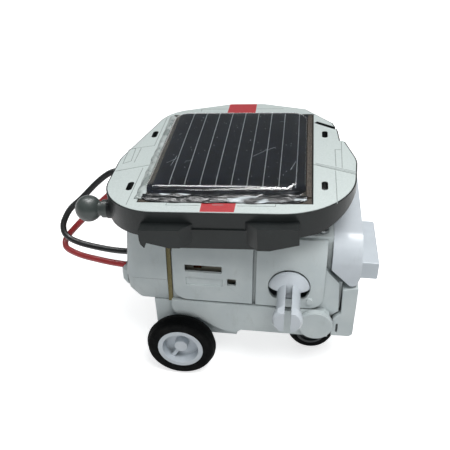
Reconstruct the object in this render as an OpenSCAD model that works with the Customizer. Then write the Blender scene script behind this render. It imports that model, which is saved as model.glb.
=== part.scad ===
// Solar-powered robot kit, built up as its rolling vehicle.
// X runs along the body towards the coupler bar, -Y is the side with the wide
// motor window, +Z is up. The origin is on the ground under the middle.

/* [Body] */
// Distance from the middle plane to the outer face of the side covers
cover_face = 30.5; // [30:0.1:31]
// Thickness of a snap-on side cover
cover_t = 1.2; // [1:0.1:1.4]
// Thickness of the chassis walls
wall_t = 1.8; // [1.5:0.1:2]
// Height of the underside of the chassis floor
floor_z = 15.7; // [15.5:0.1:16]
// Height of the top of the roof
roof_z = 50.5; // [50:0.1:51]
// Height where the side covers start to slope inwards
shoulder_z = 43.3; // [42:0.1:44]
// How far the shoulder slopes inwards
shoulder_in = 2.6; // [2:0.1:3]
// Height of the bottom edge of the side covers
cover_bottom_z = 26.1; // [26:0.1:26.5]

/* [Wheels] */
// Radius of a big drive tyre
big_tyre_r = 11; // [10.8:0.1:11.1]
// Width of a big drive tyre
big_tyre_w = 5.2; // [4.5:0.1:5.4]
// Radius of the rim seen inside a big tyre
big_rim_r = 7.2; // [6.8:0.1:7.4]
// Radius of a small tyre
small_tyre_r = 7.4; // [7:0.1:7.5]
// Width of a small tyre
small_tyre_w = 4; // [3:0.1:4.2]
// Radius of both steel axles
axle_r = 1; // [0.9:0.05:1]

/* [Gears] */
// Gear module, the pitch diameter over the number of teeth
gear_m = 0.5; // [0.5:0.1:0.5]
// Backlash between two teeth, measured on the pitch circle
backlash = 0.14; // [0.1:0.01:0.2]
// Height of a tooth above the pitch circle
addendum = 0.42; // [0.35:0.01:0.45]
// Depth of a tooth below the pitch circle
dedendum = 0.62; // [0.55:0.01:0.65]
// Radius of the steel pins that carry the compound gears
pin_r = 1; // [0.9:0.05:1]
// Radial clearance of every shaft that turns in a hole
run_gap = 0.05; // [0.03:0.01:0.08]

/* [Solar panel] */
// Height of the panel's top face above the origin
panel_z = 63; // [62:0.1:64]
// Sideways roll of the panel on its mount, in degrees
panel_roll = 3.2; // [2.5:0.1:3.5]
// Thickness of the panel's deck
deck_t = 2.4; // [2:0.1:2.6]
// Thickness of the panel's skirt
skirt_t = 1.6; // [1.2:0.1:2]
// Depth of the skirt at the front edge
skirt_h = 8; // [7:0.1:8.5]
// Width of the solar board
board_w = 48.6; // [48:0.1:50]
// Length of the solar board
board_l = 59.6; // [58:0.1:60]
// Number of strips in the solar cell
cell_strips = 10; // [8:1:12]
// Width of one strip in the solar cell
strip_pitch = 4.5; // [4:0.1:4.5]
// Length of the solar cell
cell_l = 52.6; // [50:0.1:53]
// Height of the crown of the clear resin over the cell
resin_h = 2.6; // [2:0.1:3]

/* [Wires] */
// Outer diameter of the insulated wires
wire_d = 2; // [1.8:0.1:2.1]

/* [Hidden] */
fine = 64;
soft = 28;

white = "#dfe6e6";
bright = "#eef0f6";
grey = "#3b4040";
steel = "silver";

// Places of the shafts, as X and Z.
motor_at = [-5, 36.5];
first_at = [-5, 25];
output_at = [18.2, 33.8];
rear_axle_at = [-14.6, big_tyre_r];
small_axle_at = [26.3, small_tyre_r];

// Teeth of the train: the big and the small ring of each compound gear.
pinion_teeth = 10;
first_big = 36;
first_small = 10;
second_big = 40;
second_small = 12;
output_teeth = 40;
idler_big = 26;
idler_small = 12;
axle_teeth = 24;
pressure_angle = 20;

// Layers of the gear train along Y.
inner_plate_y = 0;
outer_plate_y = 20;
plate_t = 1.6;
pinion_y = [3, 7.6];
first_big_y = [4, 7];
first_small_y = [7, 12];
second_big_y = [8.5, 11];
second_small_y = [11, 15.6];
last_y = [12, 15];

chassis_face = cover_face - cover_t;
band_face = cover_face + 0.5;
body_x0 = -17.6;
body_x1 = 34.2;
box_x0 = -32;
box_x1 = -18.9;
box_top_z = 52;
box_joint_z = 33.4;
nose_x1 = 38.7;
big_tyre_y = cover_face + 1.3;
hub_face_y = big_tyre_y + big_tyre_w;
dog_tip_y = 46.4;
frame_x = -0.6;
board_x = -1.4;
board_y = -2.2;
cell_y = 0.9;
ball_at = [-43, -25.4, -6.4];
ball_r = 4;
// The bar ends as far to the right as the ball does to the left.
bar_x1 = ball_r - ball_at[0] * cos(panel_roll) + ball_at[2] * sin(panel_roll);
cell_w = cell_strips * strip_pitch;
big_hub_r = big_rim_r + 0.4;
mount_x = 2;
mount_y = 4;

// Circle round p and circle round q: the crossing left of the way from p to q
// for side 1, right of it for side -1.
function crossing(p, rp, q, rq, side) =
    let (d = norm(q - p))
    let (a = (rp * rp - rq * rq + d * d) / (2 * d))
    let (h = sqrt(rp * rp - a * a))
    let (u = (q - p) / d)
    p + a * u + side * h * [-u[1], u[0]];

// Distance between the centres of two meshed gears.
function centres(teeth_a, teeth_b) = (teeth_a + teeth_b) * gear_m / 2;

function heading(p, q) = atan2(q[1] - p[1], q[0] - p[0]);

// Angle of a tooth of gear b that lets it mesh with gear a.
function meshed(p, teeth_a, phase_a, q, teeth_b) =
    let (way = heading(p, q))
    way + 180 + (way - phase_a) * teeth_a / teeth_b + 180 / teeth_b;

second_at = crossing(first_at, centres(first_small, second_big),
                     output_at, centres(second_small, output_teeth), 1);
idler_at = crossing(rear_axle_at, centres(idler_small, axle_teeth),
                    first_at, centres(first_small, idler_big), 1);

first_phase = meshed(motor_at, pinion_teeth, 0, first_at, first_big);
second_phase = meshed(first_at, first_small, 0, second_at, second_big);
output_phase = meshed(second_at, second_small, 0, output_at, output_teeth);
idler_phase = meshed(first_at, first_small, 0, idler_at, idler_big);
axle_phase = meshed(idler_at, idler_small, 0, rear_axle_at, axle_teeth);

// ---------------------------------------------------------------- helpers

// Stands a flat shape drawn as X and Z upright, filling y0 to y1.
module upright(y0, y1) {
    translate([0, y1, 0]) rotate([90, 0, 0]) linear_extrude(y1 - y0) children();
}

// A cylinder along Y round a point given as X and Z.
module rod_y(at, r, y0, y1, facets = fine) {
    translate([at[0], y1, at[1]]) rotate([90, 0, 0]) cylinder(h = y1 - y0, r = r, $fn = facets);
}

module both_sides() {
    children();
    mirror([0, 1, 0]) children();
}

module rounded(size, r) {
    hull()
        for (x = [r, size[0] - r], y = [r, size[1] - r])
            translate([x, y]) circle(r, $fn = soft);
}

// A box from its low corner to its high corner.
module block(low, high) {
    translate(low) cube(high - low);
}

// Part of the chassis side that a cover or the sloping wall fills, drawn as Y and Z
// for the side at -Y and carried along X.
module sloped_wall(face, thick, low_z, high_z, x0, x1) {
    lean = shoulder_in * (high_z - shoulder_z) / (roof_z - 1 - shoulder_z);
    translate([x0, 0, 0]) rotate([90, 0, 90]) linear_extrude(x1 - x0)
        polygon([[-face, low_z], [-face, shoulder_z], [-face + lean, high_z],
                 [-face + lean + thick, high_z], [-face + thick, shoulder_z],
                 [-face + thick, low_z]]);
}

module on_panel() {
    translate([0, 0, panel_z]) rotate([0, -panel_roll, 0]) children();
}

// ---------------------------------------------------------------- gears

function involute(a) = tan(a) * 180 / PI - a;

// Half the angle that a tooth spans at radius r.
function half_tooth(teeth, r) =
    let (pitch_r = teeth * gear_m / 2)
    let (base_r = pitch_r * cos(pressure_angle))
    let (at_pitch = 90 / teeth - backlash / 4 / pitch_r * 180 / PI)
    let (slope = r > base_r ? acos(base_r / r) : 0)
    at_pitch + involute(pressure_angle) - involute(slope);

// Radii on one flank of a tooth from its root to its tip.
function flank(teeth) =
    let (pitch_r = teeth * gear_m / 2)
    let (root_r = pitch_r - dedendum)
    [root_r, max(root_r + 0.05, pitch_r * cos(pressure_angle)), pitch_r, pitch_r + addendum];

module toothed_ring(teeth, phase) {
    radii = flank(teeth);
    undercut = teeth < 17 ? 0.75 : 1;
    polygon([for (i = [0 : teeth - 1], side = [-1, 1], k = [0 : 3])
        let (r = radii[side < 0 ? k : 3 - k])
        let (keep = r == radii[0] ? undercut : 1)
        let (a = phase + i * 360 / teeth + side * half_tooth(teeth, r) * keep)
        r * [cos(a), sin(a)]]);
}

module gear(at, teeth, phase, layer) {
    upright(layer[0], layer[1]) translate(at) toothed_ring(teeth, phase);
}

module compound(at, big, big_phase, big_layer, small, small_layer) {
    difference() {
        union() {
            gear(at, big, big_phase, big_layer);
            gear(at, small, 0, small_layer);
        }
        rod_y(at, pin_r + run_gap, big_layer[0] - 1, small_layer[1] + 1);
    }
}

// ---------------------------------------------------------------- body

module side_outline() {
    polygon([[-23, 12.5], [-23.6, 24.6], [body_x0, 24.6], [body_x0, roof_z - 1],
             [28.7, roof_z - 1], [28.7, 40.3], [body_x1 - 1.2, 35.6], [body_x1 - 0.5, 25],
             [31.4, 23], [31.4, floor_z], [4, floor_z], [2.6, 14.6], [-17, 12.5]]);
}

module band_outline() {
    polygon([[-17.8, 23.4], [-17.8, 25.8], [29.6, 25.8], [31, 24.4], [31, floor_z],
             [4, floor_z], [2.6, 14.6], [-0.3, 14.6], [-4.6, 16.4], [-9.4, 19.5],
             [-14, 19.7], [-16, 20.4], [-17.2, 21.6]]);
}

module axle_carrier() {
    upright(-24.2, -22) difference() {
        polygon([[-22, 13], [-19, 7.4], [2, 7.4], [2.6, 9.5], [2.6, floor_z + 1],
                 [-22, floor_z + 1]]);
        translate(rear_axle_at) circle(r = axle_r + 0.6, $fn = fine);
    }
}

module small_axle_lug() {
    upright(-14, -11.8) difference() {
        hull() {
            translate(small_axle_at) circle(r = 3, $fn = soft);
            translate([20.8, floor_z]) square([10.4, 1]);
        }
        translate(small_axle_at) circle(r = axle_r + run_gap, $fn = fine);
    }
}

// Places of the screw posts under the roof, and the heights where they start.
roof_posts = [[27, -24], [27, 24], [-14.4, 24]];
post_z = [40, 40, floor_z];
screw_r = 0.9;

// Wall between the terminal box and the motor, leaning in with the shoulders.
module end_wall() {
    half = chassis_face - wall_t + 0.1;
    top = half - shoulder_in + 0.2;
    translate([body_x0, 0, 0]) rotate([90, 0, 90]) linear_extrude(1.4)
        polygon([[-half, floor_z], [half, floor_z], [half, shoulder_z], [top, roof_z - 1],
                 [-top, roof_z - 1], [-half, shoulder_z]]);
}

module chassis() {
    color(white) difference() {
        union() {
            both_sides() {
                intersection() {
                    sloped_wall(chassis_face, wall_t, 12, roof_z - 1, -24, body_x1);
                    upright(-40, 0) side_outline();
                }
                upright(-band_face, -chassis_face + 0.1) band_outline();
                axle_carrier();
                small_axle_lug();
            }
            block([body_x0, -chassis_face + 1, floor_z], [31.4, chassis_face - 1, floor_z + wall_t]);
            block([-24, -24, 12.5], [-22, 24, 24.6]);
            block([-22, -24, 22.8], [body_x0 + 0.1, 24, 24.6]);
            end_wall();
            block([32.2, -28.2, 25.2], [body_x1 - 0.2, 28.2, 35.6]);
            block([28.7, -26.8, 35.6], [30.1, 26.8, roof_z - 1]);
            block([29, -27.6, 34.6], [body_x1 - 0.2, 27.6, 35.6]);
            block([30, -27.6, floor_z], [31.4, 27.6, 25.8]);
            block([30, -27.6, 25.2], [33, 27.6, 26.2]);
            block([-12, -21, floor_z + 1], [2, -19, 28.9]);
            block([-12, -7, floor_z + 1], [2, -5, 28.9]);
            for (i = [0 : 2])
                translate([roof_posts[i][0], roof_posts[i][1], post_z[i]])
                    cylinder(h = roof_z - 1 - post_z[i], r = 2.2, $fn = fine);
        }
        both_sides() {
            upright(-40, -26) translate([-15.6, 28.4]) rounded([20.6, 19], 2);
            rod_y(output_at, 9, -40, -26);
        }
        // Hole in the end wall for the motor's leads.
        block([body_x0 - 1, -28, motor_at[1]], [body_x0 + 2, -25, motor_at[1] + 4]);
        // Slots in the floor and the end wall for the gears.
        block([-22.1, 3, floor_z - 5], [1.4, 16.2, floor_z + 6]);
        block([-19.8, 8, floor_z + 4], [-16, 16.2, 27.4]);
        for (p = roof_posts)
            translate([p[0], p[1], roof_z - 8]) cylinder(h = 10, r = screw_r, $fn = fine);
        for (p = plate_feet)
            translate([p[0], p[1], floor_z - 1]) cylinder(h = 5, r = screw_r, $fn = fine);
        // Bores for the stems of the pivot caps.
        rod_y(cap_at, cap_stem_r, -40, 40);
        // Room for the inner ends of the wheel hubs.
        both_sides() rod_y(rear_axle_at, 3, -40, -24.4);
    }
}

module roof() {
    color(white) difference() {
        union() {
            block([body_x0, -26.8, roof_z - 1], [30.1, 26.8, roof_z]);
            translate([mount_x, mount_y, roof_z - 0.1]) cylinder(h = 2.1, r = 6.5, $fn = fine);
        }
        for (p = roof_posts)
            translate([p[0], p[1], roof_z - 2]) cylinder(h = 4, r = screw_r, $fn = fine);
        translate([mount_x, mount_y, roof_z - 2]) cylinder(h = 6, r = 3.5, $fn = fine);
    }
}

motor_cover_x0 = -17.2;

module motor_cover(vents) {
    color(white) difference() {
        intersection() {
            sloped_wall(cover_face, cover_t, cover_bottom_z, roof_z - 1, motor_cover_x0, 7.2);
            upright(-40, 0) difference() {
                translate([motor_cover_x0, cover_bottom_z]) square([25, 24]);
                // Rounded outer corner.
                translate([motor_cover_x0, cover_bottom_z]) difference() {
                    translate([-1, -1]) square([5.6, 5.6]);
                    translate([4.6, 4.6]) circle(r = 4.6, $fn = fine);
                }
            }
        }
        if (vents) {
            block([-13.4, -40, 37], [-2.2, -20, 39.5]);
            block([-0.5, -40, 32.6], [2.1, -20, 35.1]);
            block([-13.1, -40, 32.1], [-2, -cover_face + 0.5, 34.8]);
        } else {
            for (z = [31.5, 35, 38.5]) block([-13.1, -40, z], [-0.5, -20, z + 1.6]);
        }
    }
}

module front_motor_cover() {
    motor_cover(true);
}

module rear_motor_cover() {
    mirror([0, 1, 0]) motor_cover(false);
}

hole_r = 6.3;

module gear_cover() {
    color(white) difference() {
        union() {
            intersection() {
                sloped_wall(cover_face, cover_t, cover_bottom_z, roof_z - 1, 8.2, 28.6);
                upright(-40, 0) difference() {
                    translate([8.2, cover_bottom_z]) square([20.4, 24]);
                    translate([28.6, cover_bottom_z]) difference() {
                        translate([-4.2, -1]) square([5.2, 5.2]);
                        translate([-4.2, 4.2]) circle(r = 4.2, $fn = fine);
                    }
                }
            }
            // Raised pip beside the hole.
            rod_y([24.6, 29.2], 1, -cover_face - 0.8, -cover_face + 0.3);
        }
        // Round hole with a flat bottom.
        intersection() {
            rod_y(output_at, hole_r, -40, -20);
            block([0, -50, output_at[1] - 4.4], [40, 0, 50]);
        }
    }
}

module front_gear_cover() {
    gear_cover();
}

module rear_gear_cover() {
    mirror([0, 1, 0]) gear_cover();
}

// Plan of the terminal box, with its outer end moved out to x0.
module box_plan(x0, inset) {
    r = 3;
    hull() {
        for (y = [-1, 1])
            translate([x0 + r, y * (cover_face - inset - r)]) circle(r, $fn = 24);
        translate([box_x1 - 1, -cover_face + inset]) square([1, 2 * (cover_face - inset)]);
    }
}

// Room for the black wire, half in each part of the terminal box.
module wire_hole() {
    translate([box_x0 - 1, -17, box_joint_z]) rotate([0, 90, 0])
        cylinder(h = 6, r = wire_d / 2, $fn = fine);
}

module terminal_box_upper() {
    color(white) difference() {
        hull() {
            translate([0, 0, box_joint_z]) linear_extrude(0.1) box_plan(box_x0, 0);
            translate([0, 0, box_top_z - 0.1]) linear_extrude(0.1) box_plan(box_x0 + 1.4, 0);
        }
        block([box_x0 + 3, -27.5, box_joint_z - 1], [box_x1 + 1, 27.5, box_top_z - 1.8]);
        wire_hole();
    }
}

module terminal_box_lower() {
    low_z = 24.7;
    color(white) difference() {
        hull() {
            translate([0, 0, box_joint_z - 0.3]) linear_extrude(0.1) box_plan(box_x0 + 0.1, 0.2);
            translate([0, 0, low_z + 3.5]) linear_extrude(0.1) box_plan(box_x0 + 0.3, 0.5);
            translate([0, 0, low_z]) linear_extrude(0.1) box_plan(box_x0 + 2.4, 1.6);
        }
        block([box_x0 + 3.4, -26, low_z + 1.8], [box_x1 + 1, 26, box_joint_z + 1]);
        wire_hole();
    }
}

// Rounded boss on the end of the terminal box where the red wire goes in.
module wire_boss() {
    color(white) difference() {
        translate([box_x0 + 0.3, -24.8, 27.3]) {
            cylinder(h = 1.8, r1 = 1.6, r2 = 2.6, $fn = fine);
            translate([0, 0, 1.8]) cylinder(h = 4.2, r = 2.6, $fn = fine);
            translate([0, 0, 6]) cylinder(h = 1, r1 = 2.6, r2 = 1.8, $fn = fine);
        }
        block([box_x0 - 0.02, -30, 26], [box_x0 + 4, -20, 36]);
    }
}

module contact_board() {
    color("#7a7350") block([box_x1 + 0.02, -29.9, 24.7], [body_x0 - 0.02, 29.9, 49.4]);
}

module nose_upper() {
    r = 7.5;
    half = cover_face;
    color(bright) intersection() {
        upright(-40, 40)
            polygon([[30.12, 51], [30.12, 41.2], [36.4, 35.3], [37.9, 36.3], [38.4, 38],
                     [nose_x1, 38.8], [nose_x1, 51]]);
        rotate([90, 0, 90]) linear_extrude(60) union() {
            for (s = [-1, 1])
                translate([s * (half - r), roof_z - r]) circle(r, $fn = fine);
            translate([-half, 20]) square([2 * half, roof_z - r - 20]);
            translate([-half + r, 20]) square([2 * half - 2 * r, roof_z - 20]);
        }
        difference() {
            block([30.12, -40, 35.7], [nose_x1, 40, 60]);
            block([30, -28.6, 42.6], [nose_x1 - 1.6, 28.6, roof_z - 3.4]);
        }
    }
}

module nose_lower() {
    color(white) difference() {
        upright(-cover_face, cover_face) difference() {
            polygon([[34.1, 34.1], [34.4, 24.9], [32, 22.7], [32, floor_z + 0.2],
                     [nose_x1, floor_z + 0.2], [nose_x1, 35], [37.4, 35.1]]);
            translate([nose_x1, floor_z + 0.2]) difference() {
                translate([-1.6, -1]) square([2.6, 2.6]);
                translate([-1.6, 1.6]) circle(r = 1.6, $fn = fine);
            }
        }
        block([33, -28, floor_z + 2], [nose_x1 - 1.6, 28, 33]);
        // Slit beside each pivot cap.
        both_sides() block([33.3, -32, 17.2], [33.9, -29.2, 20.7]);
    }
}

module coupler_bar() {
    color(bright) difference() {
        translate([0, -13, 0]) rotate([90, 0, 0]) translate([0, 0, -25])
            linear_extrude(25) translate([nose_x1, 25.7]) rounded([bar_x1 - nose_x1, 6.3], 0.5);
        block([nose_x1 + 1.6, -11.4, 25], [bar_x1 - 1.6, 10.4, 30.4]);
    }
}

cap_at = [26.9, 21.1];
cap_r = 5.3;
cap_stem_r = 1.6;

module pivot_cap() {
    color(white) {
        rod_y(cap_at, cap_r, -band_face - 1.5, -band_face);
        rod_y(cap_at, cap_r - 0.3, -band_face - 1.8, -band_face - 1.5);
        rod_y(cap_at, cap_stem_r, -band_face, -23);
    }
}

module pivot_cap_front() {
    pivot_cap();
}

module pivot_cap_rear() {
    mirror([0, 1, 0]) pivot_cap();
}

// ---------------------------------------------------------------- gearbox

plate_feet = [[22, 4.6], [27.5, 4.6], [22, 15.8], [27.5, 15.8]];

module gear_plate(y0) {
    z0 = floor_z + wall_t;
    inward = y0 < 10 ? 1 : -1;
    foot_y = y0 < 10 ? y0 + plate_t : y0;
    color("whitesmoke") difference() {
        union() {
            upright(y0, y0 + plate_t) difference() {
                translate([-16.1, z0]) square([44, 31]);
                translate([24.5, 24]) circle(r = 4, $fn = fine);
            }
            block([20, min(foot_y, foot_y + inward * 6), z0], [29.8, max(foot_y, foot_y + inward * 6), z0 + 3]);
        }
        rod_y(output_at, 1.5 + run_gap, y0 - 1, y0 + plate_t + 1);
        for (p = [first_at, second_at, idler_at])
            rod_y(p, pin_r, y0 - 1, y0 + plate_t + 1);
        rod_y(motor_at, 3.1, y0 - 1, y0 + plate_t + 1);
        for (p = plate_feet)
            translate([p[0], p[1], z0 - 1]) cylinder(h = 6, r = screw_r, $fn = fine);
    }
}

module inner_gear_plate() {
    gear_plate(inner_plate_y);
}

module outer_gear_plate() {
    gear_plate(outer_plate_y);
}

module gear_pins() {
    color(steel) {
        for (p = [first_at, second_at]) rod_y(p, pin_r, inner_plate_y, outer_plate_y + plate_t);
        // The idler's pin stops short of the first gear's rim.
        rod_y(idler_at, pin_r, 7.6, outer_plate_y + plate_t);
    }
}

// Pan-head screw with its tip up and the underside of its head at the origin.
module screw(length) {
    cylinder(h = length, r = screw_r, $fn = fine);
    translate([0, 0, -0.9]) difference() {
        cylinder(h = 0.9, r = 1.7, $fn = fine);
        for (a = [0, 90]) rotate([0, 0, a]) translate([-1.1, -0.2, -1]) cube([2.2, 0.4, 1.5]);
    }
}

module plate_screws() {
    color(steel) for (p = plate_feet) translate([p[0], p[1], floor_z]) screw(4.6);
}

module roof_screws() {
    color(steel) for (p = roof_posts) translate([p[0], p[1], roof_z]) rotate([180, 0, 0]) screw(7);
}

// ---------------------------------------------------------------- motor

module motor_slice(y0, y1, r, flat) {
    upright(y0, y1) translate(motor_at) intersection() {
        circle(r = r, $fn = fine);
        square([2 * r, flat], center = true);
    }
}

can_r = 10.05;
can_flat = 15.1;
shaft_r = 1;

module motor_can() {
    color(steel) difference() {
        motor_slice(-20.5, -0.4, can_r, can_flat);
        rod_y(motor_at, shaft_r + run_gap, -19, 1);
    }
}

module motor_end_cap() {
    color("#e4e0d4") motor_slice(-25, -20.5, can_r - 0.6, can_flat - 1);
}

module motor_bush() {
    color("#b98b52") difference() {
        rod_y(motor_at, 3.05, -0.4, 1.4);
        rod_y(motor_at, shaft_r + run_gap, -2, 3);
    }
}

module motor_terminals() {
    color("#b87a4a") for (s = [-1, 1])
        block([motor_at[0] + s * 5 - 1.2, -27.2, motor_at[1] - 0.3],
              [motor_at[0] + s * 5 + 1.2, -25, motor_at[1] + 0.3]);
}

// Short leads from the contact board to the motor's terminals.
module motor_leads() {
    for (k = [0, 1])
        color(["#a83030", "#1a1d1d"][k])
            translate([body_x0, -26.2, motor_at[1] + 0.9 + 1.8 * k]) rotate([0, 90, 0])
                cylinder(h = motor_at[0] - body_x0 - 4.2 + 10 * k, r = 0.6, $fn = fine);
}

module motor_shaft() {
    color(steel) rod_y(motor_at, shaft_r, -18, 7.8);
}

module motor_pinion() {
    color("#e9e4d0") difference() {
        gear(motor_at, pinion_teeth, 0, pinion_y);
        rod_y(motor_at, shaft_r, 0, 9);
    }
}

// ---------------------------------------------------------------- gear train

module first_gear() {
    color("#e9e4d0") compound(first_at, first_big, first_phase, first_big_y, first_small, first_small_y);
}

module second_gear() {
    color("#e9e4d0") compound(second_at, second_big, second_phase, second_big_y,
                              second_small, second_small_y);
}

module idler_gear() {
    color("#e9e4d0") compound(idler_at, idler_big, idler_phase, second_big_y,
                              idler_small, second_small_y);
}

output_shaft_r = 1.5;

module output_gear() {
    color("#e9e4d0") difference() {
        union() {
            gear(output_at, output_teeth, output_phase, last_y);
            rod_y(output_at, 3.4, last_y[1], last_y[1] + 3);
        }
        rod_y(output_at, output_shaft_r, 0, 30);
    }
}

module output_shaft() {
    color(steel) rod_y(output_at, output_shaft_r, -31, 31);
}

module axle_gear() {
    color("#e9e4d0") difference() {
        union() {
            gear(rear_axle_at, axle_teeth, axle_phase, last_y);
            rod_y(rear_axle_at, 2.6, last_y[1], last_y[1] + 2.5);
        }
        rod_y(rear_axle_at, axle_r, 0, 30);
    }
}

peg_r = 3.5;
barb_r = 4.3;
dome_r = 6.2;

// Split snap peg with a barbed end.
module snap_peg(root_y) {
    difference() {
        union() {
            rod_y(output_at, peg_r, -dog_tip_y + 1, root_y);
            translate([output_at[0], -dog_tip_y, output_at[1]]) rotate([-90, 0, 0]) {
                cylinder(h = 0.8, r1 = barb_r - 0.6, r2 = barb_r, $fn = fine);
                translate([0, 0, 0.8]) cylinder(h = 1.5, r = barb_r, $fn = fine);
                translate([0, 0, 2.3]) cylinder(h = 1.1, r1 = barb_r, r2 = peg_r, $fn = fine);
            }
        }
        // Slot between the two prongs.
        block([output_at[0] - 0.95, -60, 20], [output_at[0] + 0.95, root_y - 0.2, 50]);
        // The barbs stand out sideways only.
        for (z = [output_at[1] + 3.2, output_at[1] - 8.2])
            block([0, -60, z], [40, -41, z + 5]);
    }
}

// Drive dog at the -Y end of the output shaft: half a dome and a snap peg.
module drive_dog() {
    face = cover_face + 0.4;
    color(bright) difference() {
        union() {
            rod_y(output_at, 2.6, -face - 0.2, -26);
            snap_peg(-face);
            // Half dome that keys the part pushed on to the peg.
            difference() {
                translate([output_at[0], -face, output_at[1]]) rotate([90, 0, 0])
                    rotate_extrude($fn = fine) intersection() {
                        scale([1, 0.5]) circle(r = dome_r, $fn = fine);
                        square([7, 7]);
                    }
                block([0, -40, 0], [40, -30, output_at[1] + 0.7]);
            }
        }
        rod_y(output_at, output_shaft_r, -31, -20);
    }
}

module front_drive_dog() {
    drive_dog();
}

// The dog at the far end is the same piece, turned over.
module rear_drive_dog() {
    translate([0, 0, 2 * output_at[1]]) rotate([180, 0, 0]) drive_dog();
}

// ---------------------------------------------------------------- wheels

module rear_axle() {
    color(steel) rod_y(rear_axle_at, axle_r, -hub_face_y + 2.6, hub_face_y - 2.6);
}

module axle_bushes() {
    color("#b98b52") both_sides() difference() {
        union() {
            rod_y(rear_axle_at, axle_r + 0.6, -24.2, -22);
            rod_y(rear_axle_at, axle_r + 1.2, -22, -21.2);
        }
        rod_y(rear_axle_at, axle_r + run_gap, -30, -20);
    }
}

module wheel_hub() {
    color(bright) difference() {
        union() {
            rod_y(rear_axle_at, big_hub_r, -hub_face_y + 0.3, -big_tyre_y);
            rod_y(rear_axle_at, big_rim_r, -hub_face_y, -big_tyre_y);
            rod_y(rear_axle_at, 2.4, -big_tyre_y, -25.2);
        }
        // Dish with a low boss in its middle and one rib across it.
        difference() {
            rod_y(rear_axle_at, 5.7, -hub_face_y - 1, -hub_face_y + 3.9);
            rod_y(rear_axle_at, 2.1, -hub_face_y + 1.2, -hub_face_y + 4);
            translate([rear_axle_at[0], 0, rear_axle_at[1]]) rotate([0, 30, 0])
                block([-0.6, -hub_face_y + 1.8, -6], [0.6, -hub_face_y + 4, 0]);
        }
        rod_y(rear_axle_at, axle_r, -hub_face_y + 2.6, -20);
    }
}

module front_wheel_hub() {
    wheel_hub();
}

module rear_wheel_hub() {
    mirror([0, 1, 0]) wheel_hub();
}

// Tyre with a crowned tread and round shoulders.
module tyre_ring(at, inner_r, outer_r, y0, y1) {
    w = y1 - y0;
    crown = 0.5;
    shoulder = 1.1;
    translate([at[0], y1, at[1]]) rotate([90, 0, 0]) rotate_extrude($fn = 96)
        polygon(concat(
            [[inner_r, 0], [outer_r - crown - shoulder, 0]],
            [for (a = [-60 : 30 : 0]) [outer_r - crown - shoulder + shoulder * cos(a),
                                       shoulder + shoulder * sin(a)]],
            [[outer_r, w / 2 - 0.4], [outer_r, w / 2 + 0.4]],
            [for (a = [0 : 30 : 60]) [outer_r - crown - shoulder + shoulder * cos(a),
                                      w - shoulder + shoulder * sin(a)]],
            [[outer_r - crown - shoulder, w], [inner_r, w]]));
}

module big_tyre() {
    color("#101214") difference() {
        tyre_ring(rear_axle_at, big_rim_r, big_tyre_r, -hub_face_y, -big_tyre_y);
        rod_y(rear_axle_at, big_hub_r, -hub_face_y + 0.3, -big_tyre_y + 1);
    }
}

module front_tyre() {
    big_tyre();
}

module rear_tyre() {
    mirror([0, 1, 0]) big_tyre();
}

small_hub_r = 4.8;
small_wheel_y = 16.5;

module small_axle() {
    half = small_wheel_y + small_tyre_w - 0.7;
    color(steel) rod_y(small_axle_at, axle_r, -half, half);
}

module small_wheel_hubs() {
    color("#22262a") both_sides() difference() {
        union() {
            rod_y(small_axle_at, small_hub_r, -small_wheel_y - small_tyre_w, -small_wheel_y);
            rod_y(small_axle_at, 2.2, -small_wheel_y, -14.3);
        }
        rod_y(small_axle_at, axle_r, -22, -10);
        difference() {
            rod_y(small_axle_at, 3.8, -30, -small_wheel_y - small_tyre_w + 1);
            rod_y(small_axle_at, 1.8, -small_wheel_y - small_tyre_w + 0.3, -10);
        }
    }
}

module small_tyres() {
    color("#101214") both_sides()
        tyre_ring(small_axle_at, small_hub_r, small_tyre_r, -small_wheel_y - small_tyre_w, -small_wheel_y);
}

// ---------------------------------------------------------------- solar panel

// Outline of the panel, seen from above, with every corner arc grown by grow.
module panel_outline(grow) {
    difference() {
        hull() translate([frame_x, 0]) {
            translate([-19.8, -20.4]) circle(17 + grow, $fn = fine);
            translate([15, -16.4]) circle(21.2 + grow, $fn = fine);
            for (s = [-1, 1]) {
                translate([s * 18.8, -8]) circle(18 + grow, $fn = fine);
                translate([s * 17.2, 20.5]) circle(12.5 + grow, $fn = fine);
                translate([s * 5, 31.4]) circle(6 + grow, $fn = fine);
            }
        }
        // Step in the right-hand edge, and the corner behind it cut off.
        translate([31.6 + grow, 6.4 - grow]) rotate([0, 0, 4]) square([10, 40]);
        translate([21.2, 31.2]) rotate([0, 0, -52]) translate([-10, grow]) square([40, 20]);
    }
}

vents = [[-30, -23.2], [-29.8, 11.8], [26.4, -22], [26.8, 11.6]];

module vent_slot() {
    hull() for (s = [-1, 1]) translate([0, s * 1.6]) circle(0.92, $fn = 24);
}

module panel_holes() {
    for (p = vents) translate(p) vent_slot();
    // Slanted slit at the back corner.
    translate([27.2, 18.6]) rotate([0, 0, -37]) square([8.6, 1.7], center = true);
}

// Outer end, inner end, underside and top of each clip tab, in the panel's frame.
left_tab = [-24.1, -9.6, -9.1, -3.4];
right_tab = [19.7, 5, -9.4, -2.5];
tab_y = -41.2;
socket_x = -36.9;

// Clip tab with its inner end cut to a slant and its underside rising to the outer end.
module clip_tab(tab) {
    inward = sign(tab[1] - tab[0]);
    intersection() {
        translate([0, 0, -12]) linear_extrude(12)
            polygon([[tab[0], -36.5], [tab[0], tab_y], [tab[1] - 3.4 * inward, tab_y],
                     [tab[1], -37.6], [tab[1], -36.5]]);
        upright(tab_y - 1, -36)
            polygon([[tab[0], tab[2] + 2.1], [tab[0] + 8 * inward, tab[2]],
                     [tab[1] + inward, tab[2]], [tab[1] + inward, tab[3]], [tab[0], tab[3]]]);
    }
}

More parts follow.
